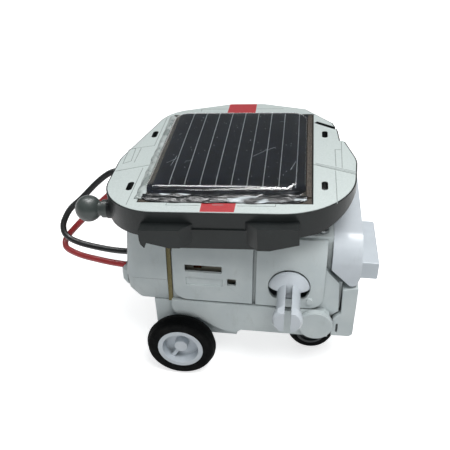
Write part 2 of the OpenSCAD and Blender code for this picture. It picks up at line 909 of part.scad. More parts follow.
module solar_frame() {
    color(grey) on_panel() difference() {
        union() {
            difference() {
                translate([0, 0, -skirt_h]) linear_extrude(skirt_h) panel_outline(0);
                translate([0, 0, -skirt_h - 1]) linear_extrude(skirt_h + 1 - deck_t) panel_outline(-skirt_t);
                // The skirt gets shallower towards the back.
                translate([-40, -22, -skirt_h - 0.2]) rotate([3, -1.2, 0])
                    translate([-20, -40, -20]) cube([120, 120, 20]);
                // It runs out along the right-hand side as far as the step.
                intersection() {
                    translate([25, -35, -7.6]) rotate([16.7, -4.6, 0])
                        translate([-20, -20, -20]) cube([60, 80, 20]);
                    block([10, -45, -20], [50, 6.6, -deck_t - 0.5]);
                }
            }
            clip_tab(left_tab);
            clip_tab(right_tab);
            // Lower lip between the tabs.
            block([-15, -38, -11.2], [13, -36, -5]);
            // Hook under the outer end of the left tab.
            upright(tab_y, -38.6)
                polygon([[-24.1, -6.4], [-23.9, -8], [-22.9, -9.3], [-21.9, -6.4]]);
            // Sockets for the screws of the mount.
            for (p = mount_feet) translate([p[0], p[1], -skirt_h + 1.6]) cylinder(h = 4.4, r = 2, $fn = fine);
            translate([socket_x, ball_at[1], ball_at[2]]) rotate([0, 90, 0]) cylinder(h = 5, r = 2.9, $fn = fine);
        }
        translate([board_x - board_w / 2, board_y - board_l / 2, -0.9]) cube([board_w, board_l, 2]);
        translate([0, 0, -deck_t - 1]) linear_extrude(deck_t + 2) panel_holes();
        for (p = mount_feet) translate([p[0], p[1], -skirt_h - 1]) cylinder(h = 6, r = screw_r, $fn = fine);
        // Seat and blind socket of the ball peg, and the hole that lets the wires through.
        translate([socket_x - 6, ball_at[1], ball_at[2]]) rotate([0, 90, 0]) cylinder(h = 6, r = 2.75, $fn = fine);
        translate([socket_x - 1, ball_at[1], ball_at[2]]) rotate([0, 90, 0]) cylinder(h = 5, r = 1.5, $fn = fine);
        translate([-23, -4, -deck_t - 1]) cylinder(h = 4, r = 1.5, $fn = fine);
        translate([-38.8, -11, -7.8]) cube([5.8, 14, 4.4]);
    }
}

module ball_peg() {
    neck = socket_x - ball_at[0];
    color(grey) on_panel() translate(ball_at) rotate([0, 90, 0]) {
        sphere(ball_r, $fn = fine);
        cylinder(h = ball_r + 0.6, r = 2.2, $fn = fine);
        translate([0, 0, ball_r + 0.4]) cylinder(h = neck - ball_r - 0.45, r = 2.7, $fn = fine);
        translate([0, 0, neck - 0.5]) cylinder(h = 4.3, r = 1.45, $fn = fine);
    }
}

sticker_t = 0.15;
sticker_inset = 0.4;

module sticker_sheet() {
    linear_extrude(sticker_t) difference() {
        panel_outline(-sticker_inset);
        translate([board_x - board_w / 2 - 0.3, board_y - board_l / 2 - 0.3]) square([board_w + 0.6, board_l + 0.6]);
        panel_holes();
        children();
    }
}

module patch_outline() {
    polygon([[-7.4, -36.8], [2, -36.8], [2.2, -28], [-7.6, -28]]);
    polygon([[-7.2, 29], [2.8, 29], [2.8, 38], [-7, 38]]);
}

module frame_stickers() {
    color("#dce6e4") on_panel() sticker_sheet() {
        patch_outline();
        // Cuts between the separate stickers.
        translate([-33, -12.6]) rotate([0, 0, 23]) square([14, 0.3], center = true);
        translate([30, -12.6]) rotate([0, 0, -26]) square([16, 0.3], center = true);
    }
}

module red_stickers() {
    color("#d9434a") on_panel() intersection() {
        linear_extrude(sticker_t) patch_outline();
        linear_extrude(sticker_t) difference() {
            panel_outline(-sticker_inset);
            translate([board_x - board_w / 2 - 0.3, board_y - board_l / 2 - 0.3]) square([board_w + 0.6, board_l + 0.6]);
        }
    }
}

module solar_board() {
    color("#4a3a20") on_panel() translate([board_x - board_w / 2 + 0.1, board_y - board_l / 2 + 0.1, -0.9])
        cube([board_w - 0.2, board_l - 0.2, 1]);
}

cell_t = 0.3;
line_t = 0.08;
board_top = 0.1;

module solar_cell() {
    color("#1c2230") on_panel() translate([-cell_w / 2, cell_y - cell_l / 2, board_top])
        cube([cell_w, cell_l, cell_t]);
}

module cell_lines() {
    color(steel) on_panel() for (i = [1 : cell_strips - 1])
        translate([-cell_w / 2 + i * strip_pitch - 0.12, cell_y - cell_l / 2 + 0.6, board_top + cell_t])
            cube([0.24, cell_l - 1.2, line_t]);
}

// Crowned clear resin that covers the cell and closes down on to the board.
module clear_resin() {
    pocket = 0.05;
    color("#20283080") on_panel() difference() {
        hull() {
            translate([board_x, board_y, board_top]) linear_extrude(0.2)
                translate([-board_w / 2 + 0.6, -board_l / 2 + 0.6]) rounded([board_w - 1.2, board_l - 1.2], 3);
            translate([board_x, board_y, 1.4]) linear_extrude(0.1)
                translate([-board_w / 2 + 1.4, -board_l / 2 + 1.4]) rounded([board_w - 2.8, board_l - 2.8], 4);
            translate([board_x, board_y, 2.1]) linear_extrude(0.1)
                translate([-board_w / 2 + 3.2, -board_l / 2 + 3.2]) rounded([board_w - 6.4, board_l - 6.4], 5);
            translate([board_x, board_y, resin_h - 0.1]) linear_extrude(0.1)
                translate([-board_w / 2 + 8, -board_l / 2 + 8]) rounded([board_w - 16, board_l - 16], 6);
        }
        translate([-cell_w / 2 - pocket, cell_y - cell_l / 2 - pocket, board_top - 1])
            cube([cell_w + 2 * pocket, cell_l + 2 * pocket, 1 + cell_t + line_t]);
    }
}

mount_feet = [[-12, -10], [16, -10], [-12, 18], [16, 18]];

// Wedge-shaped bracket between the roof and the underside of the panel.
module solar_mount() {
    color("#4a5050") difference() {
        union() {
            on_panel() translate([0, 0, -skirt_h + 0.1]) linear_extrude(1.5)
                translate([-15, -13]) rounded([34, 34], 3);
            intersection() {
                translate([mount_x, mount_y, roof_z + 2]) cylinder(h = 20, r = 5, $fn = fine);
                on_panel() translate([0, 0, -skirt_h + 0.6 - 30]) cylinder(h = 30, r = 60, $fn = fine);
            }
            translate([mount_x, mount_y, roof_z - 1]) cylinder(h = 4, r = 3.5, $fn = fine);
        }
        on_panel() for (p = mount_feet)
            translate([p[0], p[1], -skirt_h - 1]) cylinder(h = 6, r = screw_r, $fn = fine);
    }
}

module mount_screws() {
    color(steel) on_panel() for (p = mount_feet)
        translate([p[0], p[1], -skirt_h + 0.1]) screw(4);
}

// ---------------------------------------------------------------- wires

module wire_clip() {
    color("#4a5050") on_panel() difference() {
        block([-30, -12, -deck_t - 4.4], [-25, 1, -deck_t]);
        block([-31, -6.5, -deck_t - 5], [-24, -4.5, -deck_t - 1]);
    }
}

// Route of each wire from the clip under the panel to the terminal box.
black_route = [[-29.6, -1, 56.6], [-33.6, -1, 56], [-38, -1.4, 54.6], [-42.4, -2, 53.4],
    [-46.7, -3.4, 50.3], [-51.5, -6, 45.7], [-55.1, -8.5, 42.7], [-56.7, -11, 39.9],
    [-56.9, -12.5, 38.2], [-56.1, -14, 36.5], [-54, -15, 35.2], [-50.2, -16, 34.4],
    [-45.5, -16.6, 33.8], [-40, -17, 33.3], [-35.5, -17, 33.1], [-32.4, -17, 33.3], [-30.6, -17, 33.4]];
red_route = [[-29.6, -9, 55.6], [-33.6, -9, 54.6], [-38, -9.2, 52.4], [-41.9, -9.4, 48.8],
    [-48.3, -9.5, 42.4], [-51.2, -9.6, 39.3], [-54.2, -10, 36], [-56.4, -11, 33.5], [-56.8, -13, 32.5],
    [-55.7, -15.5, 32], [-53, -18, 32.4], [-48.6, -20.5, 32.8], [-43.9, -22.5, 33.4],
    [-38.5, -24.2, 33.8], [-34.3, -24.8, 33.8], [-33.1, -24.8, 33.7]];

// Smooth curve through the points of a route, with steps points in each span.
function spline_point(p, i, t) =
    let (n = len(p) - 1)
    let (a = p[max(i - 1, 0)])
    let (b = p[i])
    let (c = p[min(i + 1, n)])
    let (d = p[min(i + 2, n)])
    0.5 * (2 * b + (c - a) * t + (2 * a - 5 * b + 4 * c - d) * t * t
           + (3 * b - a - 3 * c + d) * t * t * t);

function smooth(p, steps) =
    concat([for (i = [0 : len(p) - 2], k = [0 : steps - 1]) spline_point(p, i, k / steps)],
           [p[len(p) - 1]]);

function unit(v) = v / norm(v);

// Ring of points round the curve at point i, square to its direction.
function wire_ring(path, i, r, sides) =
    let (n = len(path) - 1)
    let (along = unit(path[min(i + 1, n)] - path[max(i - 1, 0)]))
    let (across = unit(cross(along, [0.12, 1, 0.08])))
    let (other = cross(across, along))
    [for (k = [0 : sides - 1])
        path[i] + r * cos(k * 360 / sides) * across + r * sin(k * 360 / sides) * other];

module wire(route) {
    sides = 8;
    path = smooth(route, 2);
    n = len(path);
    points = [for (i = [0 : n - 1]) each wire_ring(path, i, wire_d / 2, sides)];
    faces = concat(
        [[for (k = [0 : sides - 1]) k]],
        [for (i = [0 : n - 2], k = [0 : sides - 1])
            [i * sides + k, (i + 1) * sides + k, (i + 1) * sides + (k + 1) % sides,
             i * sides + (k + 1) % sides]],
        [[for (k = [sides - 1 : -1 : 0]) (n - 1) * sides + k]]);
    polyhedron(points, faces, convexity = 8);
}

module red_wire() {
    color("#a83030") wire(red_route);
}

module black_wire() {
    color("#1a1d1d") wire(black_route);
}

chassis();
roof();
front_motor_cover();
rear_motor_cover();
front_gear_cover();
rear_gear_cover();
terminal_box_upper();
terminal_box_lower();
wire_boss();
contact_board();
nose_upper();
nose_lower();
coupler_bar();
pivot_cap_front();
pivot_cap_rear();
inner_gear_plate();
outer_gear_plate();
gear_pins();
plate_screws();
roof_screws();
motor_can();
motor_end_cap();
motor_bush();
motor_terminals();
motor_leads();
motor_shaft();
motor_pinion();
first_gear();
second_gear();
output_gear();
output_shaft();
front_drive_dog();
rear_drive_dog();
idler_gear();
axle_gear();
rear_axle();
axle_bushes();
front_wheel_hub();
rear_wheel_hub();
front_tyre();
rear_tyre();
small_axle();
small_wheel_hubs();
small_tyres();
solar_mount();
mount_screws();
solar_frame();
ball_peg();
frame_stickers();
red_stickers();
solar_board();
solar_cell();
cell_lines();
clear_resin();
wire_clip();
red_wire();
black_wire();
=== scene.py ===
"""Looks of the solar robot kit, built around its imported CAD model.

Lengths in the tables below are in millimetres, as in part.scad, and MM turns them into metres.
"""

import math
import random

import bmesh
import bpy
from mathutils import Matrix, Vector, noise


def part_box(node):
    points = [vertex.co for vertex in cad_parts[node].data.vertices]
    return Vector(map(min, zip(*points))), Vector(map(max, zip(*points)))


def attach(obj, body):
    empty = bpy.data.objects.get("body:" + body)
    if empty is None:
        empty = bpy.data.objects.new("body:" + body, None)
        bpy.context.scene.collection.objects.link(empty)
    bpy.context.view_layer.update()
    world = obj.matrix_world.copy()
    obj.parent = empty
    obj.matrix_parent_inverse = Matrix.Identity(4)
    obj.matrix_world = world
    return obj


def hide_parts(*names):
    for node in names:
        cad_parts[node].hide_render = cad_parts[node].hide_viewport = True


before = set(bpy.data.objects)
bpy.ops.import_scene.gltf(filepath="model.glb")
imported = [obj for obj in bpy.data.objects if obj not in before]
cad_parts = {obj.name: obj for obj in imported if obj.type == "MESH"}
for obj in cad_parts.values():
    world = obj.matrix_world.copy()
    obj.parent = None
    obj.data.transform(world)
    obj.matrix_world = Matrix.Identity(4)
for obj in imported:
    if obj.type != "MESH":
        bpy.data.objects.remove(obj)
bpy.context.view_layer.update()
MM = 0.001
BODY = "body"

# ------------------------------------------------------------------ camera

CAMERA_AT = Vector((0.0166, -0.1838, 0.1569))
CAMERA_DOWN = math.radians(33.5)
CAMERA_TURN = math.radians(6.6)
LENS_MM = 52.0
SENSOR_MM = 36.0


def make_camera():
    """A camera at the height, distance and angle that the photo was taken from."""
    data = bpy.data.cameras.new("camera")
    data.lens = LENS_MM
    data.sensor_width = SENSOR_MM
    camera = bpy.data.objects.new("camera", data)
    camera.location = CAMERA_AT
    camera.rotation_euler = (math.pi / 2 - CAMERA_DOWN, 0.0, CAMERA_TURN)
    bpy.context.scene.collection.objects.link(camera)
    bpy.context.scene.camera = camera


make_camera()

# ------------------------------------------------------------------ wires

WIRE_D = 2.0 * MM
SPAN_STEPS = 8
# Each wire's route, as in part.scad, from the clip under the panel to the terminal box.
BLACK_ROUTE = [
    (-29.6, -1, 56.6), (-33.6, -1, 56), (-38, -1.4, 54.6), (-42.4, -2, 53.4),
    (-46.7, -3.4, 50.3), (-51.5, -6, 45.7), (-55.1, -8.5, 42.7), (-56.7, -11, 39.9),
    (-56.9, -12.5, 38.2), (-56.1, -14, 36.5), (-54, -15, 35.2), (-50.2, -16, 34.4),
    (-45.5, -16.6, 33.8), (-40, -17, 33.3), (-35.5, -17, 33.1), (-32.4, -17, 33.3),
    (-30.6, -17, 33.4),
]
RED_ROUTE = [
    (-29.6, -9, 55.6), (-33.6, -9, 54.6), (-38, -9.2, 52.4), (-41.9, -9.4, 48.8),
    (-48.3, -9.5, 42.4), (-51.2, -9.6, 39.3), (-54.2, -10, 36), (-56.4, -11, 33.5),
    (-56.8, -13, 32.5), (-55.7, -15.5, 32), (-53, -18, 32.4), (-48.6, -20.5, 32.8),
    (-43.9, -22.5, 33.4), (-38.5, -24.2, 33.8), (-34.3, -24.8, 33.8), (-33.1, -24.8, 33.7),
]


def smooth_route(route):
    """The same curve through the route's points as part.scad sweeps, in metres."""
    points = [Vector(p) * MM for p in route]
    last = len(points) - 1
    out = []
    for i in range(last):
        a, b = points[max(i - 1, 0)], points[i]
        c, d = points[i + 1], points[min(i + 2, last)]
        for k in range(SPAN_STEPS):
            t = k / SPAN_STEPS
            out.append(0.5 * (2 * b + (c - a) * t + (2 * a - 5 * b + 4 * c - d) * t ** 2
                              + (3 * b - a - 3 * c + d) * t ** 3))
    out.append(points[last])
    return out


def make_wire(name, node, route):
    """A round wire as a curve of one open spline."""
    points = smooth_route(route)
    data = bpy.data.curves.new(name, "CURVE")
    data.dimensions = "3D"
    # The points' radius carries the wire's size, which keeps the curve's box tight.
    data.bevel_depth = 1.0
    data.bevel_resolution = 5
    data.use_fill_caps = True
    spline = data.splines.new("POLY")
    spline.points.add(len(points) - 1)
    for target, p in zip(spline.points, points):
        target.co = (*p, 1.0)
        target.radius = WIRE_D / 2
    spline.use_smooth = True
    wire = bpy.data.objects.new(name, data)
    bpy.context.scene.collection.objects.link(wire)
    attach(wire, BODY)
    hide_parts(node)
    return wire


red_lead = make_wire("red_lead", "red_wire", RED_ROUTE)
black_lead = make_wire("black_lead", "black_wire", BLACK_ROUTE)

# ------------------------------------------------------------------ materials


def linear(code):
    """A hex colour as the linear numbers that a shader takes."""
    values = [int(code[i:i + 2], 16) / 255 for i in (1, 3, 5)]
    return (*[v / 12.92 if v <= 0.04045 else ((v + 0.055) / 1.055) ** 2.4 for v in values], 1.0)


# How much of a seam's colour is painted shade where the seam is deepest.
CREASE_SHARE = 0.85


class Look:
    """A material built node by node round one Principled shader, in row-frame coordinates."""

    def __init__(self, name, **sockets):
        self.material = bpy.data.materials.new(name)
        self.material.use_nodes = True
        self.tree = self.material.node_tree
        self.shader = self.tree.nodes["Principled BSDF"]
        for socket, value in sockets.items():
            self.shader.inputs[socket.replace("_", " ")].default_value = value
        self.place = self.node("ShaderNodeTexCoord").outputs["Object"]
        self.height = None

    def node(self, kind, inputs=None, **settings):
        made = self.tree.nodes.new(kind)
        for key, value in settings.items():
            setattr(made, key, value)
        for key, value in (inputs or {}).items():
            if isinstance(value, bpy.types.NodeSocket):
                self.tree.links.new(value, made.inputs[key])
            else:
                made.inputs[key].default_value = value
        return made

    def noise(self, size_mm, detail=3.0, stretch=(1, 1, 1), roughness=0.5):
        """A noise whose blobs are about size_mm wide, from 0 to 1."""
        mapping = self.node("ShaderNodeMapping", {"Vector": self.place, "Scale": stretch})
        made = self.node("ShaderNodeTexNoise", {
            "Vector": mapping.outputs["Vector"], "Scale": 1 / (size_mm * MM),
            "Detail": detail, "Roughness": roughness})
        return made.outputs["Fac"]

    def cells(self, size_mm):
        """Distance to the middle of the nearest of many small cells."""
        made = self.node("ShaderNodeTexVoronoi", {
            "Vector": self.place, "Scale": 1 / (size_mm * MM)})
        return made.outputs["Distance"]

    def ramp(self, value, low, high):
        """Value spread so that low is 0 and high is 1, and held there outside them."""
        return self.node("ShaderNodeMapRange", {
            "Value": value, "From Min": low, "From Max": high}).outputs["Result"]

    def math(self, operation, a, b):
        return self.node("ShaderNodeMath", {0: a, 1: b}, operation=operation).outputs[0]

    def blend(self, share, a, b):
        made = self.node("ShaderNodeMix", {"Factor": share, 6: a, 7: b}, data_type="RGBA")
        return made.outputs[2]

    def painted_crease_shade(self, reach_mm):
        """Painted shade: how deep a point lies in a seam or a corner, from 0 in the open to
        CREASE_SHARE.
        """
        hidden = self.node("ShaderNodeAmbientOcclusion", {"Distance": reach_mm * MM}, samples=6)
        return self.math("MULTIPLY", self.ramp(hidden.outputs["AO"], 0.66, 0.12), CREASE_SHARE)

    def colour(self, value):
        self.tree.links.new(value, self.shader.inputs["Base Color"])

    def rough(self, value, low, high):
        """Roughness between low and high as value goes from 0 to 1."""
        made = self.node("ShaderNodeMapRange", {
            "Value": value, "To Min": low, "To Max": high}).outputs["Result"]
        self.tree.links.new(made, self.shader.inputs["Roughness"])

    def bump(self, height, depth_mm):
        """Adds relief of about depth_mm. Calls stack up."""
        inputs = {"Height": height, "Distance": depth_mm * MM, "Strength": 1.0}
        if self.height is not None:
            inputs["Normal"] = self.height
        self.height = self.node("ShaderNodeBump", inputs).outputs["Normal"]
        self.tree.links.new(self.height, self.shader.inputs["Normal"])


def moulded_plastic(name, light, dark, stain, roughness, grain_mm=0.25, grain_depth=0.012,
                    crease_shade_colour="#3f4648", **sockets):
    """Injection-moulded plastic: cloudy colour, faint stains, fine grain, dust specks and
    painted seam shade.
    """
    look = Look(name, **sockets)
    cloud = look.ramp(look.noise(9.0, 4.0), 0.35, 0.65)
    body = look.blend(cloud, linear(light), linear(dark))
    smudge = look.ramp(look.noise(3.2, 6.0, (1, 1, 0.5), 0.7), 0.58, 0.78)
    body = look.blend(look.math("MULTIPLY", smudge, 0.45), body, linear(stain))
    dust = look.ramp(look.cells(1.7), 0.05, 0.02)
    body = look.blend(look.math("MULTIPLY", dust, 0.35), body, linear(stain))
    # Seams and corners are darkened towards the crease colour: painted shade.
    look.colour(look.blend(look.painted_crease_shade(2.6), body, linear(crease_shade_colour)))
    look.rough(look.noise(1.4, 4.0), roughness - 0.07, roughness + 0.09)
    look.bump(look.noise(grain_mm, 2.0), grain_depth)
    look.bump(look.noise(6.0, 1.0), 0.05)
    return look.material


def metal(name, light, dark, roughness, grain=(1, 0.06, 1)):
    """Drawn metal with fine streaks along Y and faint tarnish."""
    look = Look(name, Metallic=1.0)
    streak = look.noise(0.12, 3.0, grain)
    body = look.blend(look.ramp(streak, 0.3, 0.7), linear(light), linear(dark))
    tarnish = look.ramp(look.noise(2.4, 5.0), 0.55, 0.8)
    look.colour(look.blend(look.math("MULTIPLY", tarnish, 0.5), body, linear(dark)))
    look.rough(streak, roughness - 0.08, roughness + 0.12)
    look.bump(streak, 0.006)
    return look.material


def rubber(name, light, dark):
    """Closed-cell foam rubber: pores, scuffed tread and no shine."""
    look = Look(name, Specular_IOR_Level=0.1)
    pores = look.ramp(look.cells(0.42), 0.0, 0.5)
    cloud = look.ramp(look.noise(2.2, 5.0), 0.35, 0.7)
    body = look.blend(cloud, linear(dark), linear(light))
    scuff = look.ramp(look.noise(0.9, 6.0, (1, 0.4, 1), 0.7), 0.62, 0.8)
    look.colour(look.blend(look.math("MULTIPLY", scuff, 0.4), body, linear("#2b2e31")))
    look.rough(cloud, 0.72, 0.92)
    look.bump(pores, 0.035)
    look.bump(look.noise(1.3, 3.0), 0.06)
    return look.material


def film(name, light, dark, roughness):
    """Printed vinyl sheet: even ink, a faint mottle and rubbed edges."""
    look = Look(name, Coat_Weight=0.25, Coat_Roughness=0.22)
    mottle = look.ramp(look.noise(0.5, 4.0), 0.3, 0.7)
    body = look.blend(mottle, linear(light), linear(dark))
    rub = look.ramp(look.noise(5.0, 5.0, (1, 0.5, 1), 0.65), 0.6, 0.8)
    look.colour(look.blend(look.math("MULTIPLY", rub, 0.3), body, linear(dark)))
    look.rough(look.noise(2.0, 3.0), roughness - 0.06, roughness + 0.1)
    look.bump(look.noise(3.5, 2.0), 0.02)
    return look.material


def insulation(name, light, dark):
    """PVC insulation with slight waves and handling marks."""
    look = Look(name, Coat_Weight=0.15, Coat_Roughness=0.3)
    cloud = look.ramp(look.noise(2.6, 4.0), 0.3, 0.7)
    look.colour(look.blend(cloud, linear(light), linear(dark)))
    look.rough(look.noise(0.8, 3.0), 0.36, 0.55)
    look.bump(look.noise(1.1, 2.0), 0.03)
    return look.material


def two_leads():
    """The lower lead is red and the upper one is black."""
    look = Look("motor_lead_insulation")
    low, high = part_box("motor_leads")
    split = look.node("ShaderNodeSeparateXYZ", {"Vector": look.place}).outputs["Z"]
    upper = look.math("GREATER_THAN", split, (low.z + high.z) / 2)
    cloud = look.ramp(look.noise(1.5, 4.0), 0.3, 0.7)
    red = look.blend(cloud, linear("#b03434"), linear("#8e2626"))
    black = look.blend(cloud, linear("#1f2222"), linear("#121414"))
    look.colour(look.blend(upper, red, black))
    look.rough(look.noise(0.8, 3.0), 0.4, 0.6)
    return look.material


def laminate(name, light, dark, fleck, fleck_share):
    """Resin-bonded board with fibres along it and pale flecks on its sawn edges."""
    look = Look(name)
    fibre = look.ramp(look.noise(0.35, 4.0, (1, 0.15, 1)), 0.3, 0.7)
    body = look.blend(fibre, linear(light), linear(dark))
    crumbs = look.ramp(look.noise(0.6, 5.0, (1, 1, 1), 0.7), 0.62, 0.7)
    look.colour(look.blend(look.math("MULTIPLY", crumbs, fleck_share), body, linear(fleck)))
    look.rough(fibre, 0.5, 0.75)
    look.bump(crumbs, 0.05)
    return look.material


def silicon():
    """Polycrystalline cell: navy grains with fine bright specks."""
    look = Look("silicon_cell", Specular_IOR_Level=0.25)
    grain = look.ramp(look.cells(2.4), 0.1, 0.9)
    body = look.blend(grain, linear("#04060b"), linear("#0b101d"))
    sparkle = look.ramp(look.cells(0.9), 0.07, 0.03)
    body = look.blend(look.math("MULTIPLY", sparkle, 0.5), body, linear("#6d7684"))
    haze = look.ramp(look.noise(14.0, 3.0), 0.4, 0.7)
    look.colour(look.blend(look.math("MULTIPLY", haze, 0.3), body, linear("#18201f")))
    look.rough(grain, 0.28, 0.42)
    return look.material


def clear_resin():
    """Water-clear epoxy with a slight waviness; its hairline scratches are slivers laid on it.
    """
    look = Look("clear_resin", Transmission_Weight=1.0, IOR=1.47, Roughness=0.1)
    look.shader.inputs["Base Color"].default_value = linear("#f2f5f4")
    look.bump(look.noise(9.0, 1.0), 0.03)
    return look.material


def run_out_look():
    """Resin that has crumpled: black glossy folds with light streaks along them, which are
    painted highlights.
    """
    look = Look("crumpled_resin", Coat_Weight=0.1, Coat_Roughness=0.2)
    # The light streaks along the folds are painted highlights.
    streak = look.ramp(look.noise(3.0, 2.0, (0.2, 1, 1), 0.5), 0.57, 0.61)
    patch = look.ramp(look.noise(8.0, 2.0), 0.46, 0.56)
    look.colour(look.blend(look.math("MULTIPLY", streak, patch), linear("#0d1012"),
                           linear("#b9c2c6")))
    look.rough(streak, 0.25, 0.5)
    look.bump(look.noise(2.4, 2.0, (0.3, 1, 1)), 0.06)
    return look.material


def milky_look():
    """Thin milky resin with darker patches where the board shows through."""
    look = Look("milky_resin", Coat_Weight=1.0, Coat_Roughness=0.06)
    patch = look.ramp(look.noise(3.4, 5.0, (1, 0.5, 1), 0.6), 0.42, 0.62)
    look.colour(look.blend(patch, linear("#8e9794"), linear("#c3cbc9")))
    look.rough(patch, 0.2, 0.45)
    look.bump(look.noise(2.2, 3.0, (1, 0.4, 1)), 0.15)
    return look.material


def faded(name, dark, light, size_mm, spread, roughness):
    """A thin layer that is dark in places and worn light in others."""
    look = Look(name)
    fade = look.ramp(look.noise(size_mm, 4.0), *spread)
    look.colour(look.blend(fade, linear(dark), linear(light)))
    look.rough(fade, *roughness)
    return look.material


LOOKS = {
    "white_shell": moulded_plastic("white_shell", "#d5dddd", "#cad3d4", "#b3bab6", 0.40),
    "bright_white": moulded_plastic("bright_white", "#d5dce2", "#cbd2d8", "#b9bfc2", 0.32,
                                    Coat_Weight=0.2, Coat_Roughness=0.15),
    # The frame's near-black crease colour is painted shade in its seams and corners.
    "grey_frame": moulded_plastic("grey_frame", "#222626", "#1d2020", "#303434", 0.33,
                                  grain_mm=0.18, grain_depth=0.02, crease_shade_colour="#0c0e0e",
                                  Specular_IOR_Level=0.24),
    "gear_plastic": moulded_plastic("gear_plastic", "#e9e4d0", "#ddd6bd", "#a89a78", 0.38),
    "end_cap": moulded_plastic("end_cap", "#e4e0d4", "#d8d2c2", "#a59c86", 0.45),
    "black_hub": moulded_plastic("black_hub", "#202427", "#171a1c", "#34383a", 0.5),
    "steel": metal("steel", "#c9cccd", "#8f9496", 0.26),
    "motor_steel": metal("motor_steel", "#b9bcbc", "#8a8d8e", 0.34),
    "brass": metal("brass", "#c49a58", "#8d6a35", 0.34),
    "copper": metal("copper", "#bd7d4c", "#7d4a2a", 0.36),
    "tyre": rubber("tyre", "#08090a", "#040505"),
    "contact_board": laminate("contact_board", "#857c55", "#6c6340", "#3d3620", 0.6),
    "board": laminate("board", "#3b2e1d", "#241c11", "#b5ab95", 0.7),
    "sticker": film("sticker", "#d3dcda", "#c8d2cf", 0.36),
    "red_sticker": film("red_sticker", "#c2363c", "#b03036", 0.38),
    "cell": silicon(),
    "cell_line": metal("cell_line", "#c4c8cc", "#8d9296", 0.35, (1, 0.3, 1)),
    "resin": clear_resin(),
    "red_wire": insulation("red_wire", "#b23133", "#9a2628"),
    "black_wire": insulation("black_wire", "#1b1e1f", "#101213"),
}
INK = faded("panel_line_ink", "#7d8584", "#a9b1b0", 0.7, (0.3, 0.8), (0.45, 0.65))
SCRATCH = faded("scratched_resin", "#5d656c", "#aab2ba", 1.1, (0.35, 0.65), (0.3, 0.6))
# Nodes whose look is not that of their CAD slot.
OWN_LOOKS = {
    # The ball's crease colour is painted shade in its seams and corners.
    "ball_peg": moulded_plastic("ball_grey", "#444b49", "#3c4341", "#565c58", 0.36,
                                crease_shade_colour="#101212"),
    "motor_leads": two_leads(),
}

# ------------------------------------------------------------------ carried-over CAD nodes

# Width in millimetres of the rounding on each node's moulded edges.
EDGE = {
    "chassis": 0.3, "roof": 0.3, "front_motor_cover": 0.3, "rear_motor_cover": 0.3,
    "front_gear_cover": 0.3, "rear_gear_cover": 0.3, "terminal_box_upper": 0.35,
    "terminal_box_lower": 0.3, "wire_boss": 0.5, "contact_board": 0.08, "nose_upper": 0.45,
    "nose_lower": 0.45, "coupler_bar": 0.3, "pivot_cap_front": 0.3, "pivot_cap_rear": 0.3,
    "front_drive_dog": 0.25, "rear_drive_dog": 0.25, "front_wheel_hub": 0.35,
    "rear_wheel_hub": 0.35, "solar_frame": 0.8, "solar_mount": 0.3,
    "wire_clip": 0.2, "motor_can": 0.3, "motor_end_cap": 0.3, "small_wheel_hubs": 0.2,
}


def round_edges(node, width):
    """Welds the CAD triangles, merges flat ones and rounds the sharp edges."""
    weld = node.modifiers.new("weld", "WELD")
    weld.merge_threshold = 0.001 * MM
    flat = node.modifiers.new("flat", "DECIMATE")
    flat.decimate_type = "DISSOLVE"
    flat.angle_limit = math.radians(0.6)
    bevel = node.modifiers.new("edges", "BEVEL")
    bevel.width = width
    bevel.segments = 3
    bevel.limit_method = "ANGLE"
    bevel.angle_limit = math.radians(24)
    bevel.use_clamp_overlap = True
    bevel.miter_outer = "MITER_ARC"
    normals = node.modifiers.new("normals", "WEIGHTED_NORMAL")
    normals.keep_sharp = False
    normals.weight = 60


def dress_nodes():
    for name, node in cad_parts.items():
        slot = node.material_slots[0]
        slot.material = OWN_LOOKS.get(name) or LOOKS[slot.material.name.split(".")[0]]
        if name in EDGE:
            round_edges(node, EDGE[name] * MM)


dress_nodes()
red_lead.data.materials.append(LOOKS["red_wire"])
black_lead.data.materials.append(LOOKS["black_wire"])

# ------------------------------------------------------------------ helpers for new pieces


def add_piece(name, bm, look, body, replaced=(), smooth=True):
    """Turns a bmesh drawn in the row frame into a piece that rides on a body."""
    bmesh.ops.recalc_face_normals(bm, faces=bm.faces)
    data = bpy.data.meshes.new(name)
    bm.to_mesh(data)
    bm.free()
    for face in data.polygons:
        face.use_smooth = smooth
    data.materials.append(look)
    piece = bpy.data.objects.new(name, data)
    bpy.context.scene.collection.objects.link(piece)
    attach(piece, body)
    if replaced:
        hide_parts(*replaced)


def panel_frame():
    """The solar board's own axes: the middle of its top face, and the way that it tilts."""
    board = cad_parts["solar_board"].data
    top = max(board.polygons, key=lambda f: f.normal.z)
    corners = [v.co for v in board.vertices if (v.co - top.center).dot(top.normal) > -1e-6]
    centre = sum(corners, Vector()) / len(corners)
    along = Vector((0, 1, 0))
    across = along.cross(top.normal)
    axes = Matrix((across, along, top.normal)).transposed().to_4x4()
    return Matrix.Translation(centre) @ axes


PANEL = panel_frame()
# Where the middle of the board is in the panel's own plan, and how far above the deck.
BOARD_AT = Vector((-1.4, -2.2, 0.1))


def on_panel(x, y, z=0.0):
    """A point of the panel's plan, in millimetres above its deck, in the row frame."""
    return PANEL @ ((Vector((x, y, z)) - BOARD_AT) * MM)


# ------------------------------------------------------------------ resin over the cell

# The dome's sides in the panel's plan, its height above the deck, how much of that height is
# the crown's gentle bulge, and how broad the rounded shoulders are.
DOME_X = (-25.3, 21.3)
DOME_Y = (-28.5, 26.8)
DOME_HALF = ((DOME_X[1] - DOME_X[0]) / 2, (DOME_Y[1] - DOME_Y[0]) / 2)
DOME_H = 3.3
CROWN = 0.7
SHOULDER = 5.4
# The level that the resin is poured on, a hair above the board.
BOARD_TOP = BOARD_AT.z + 0.02
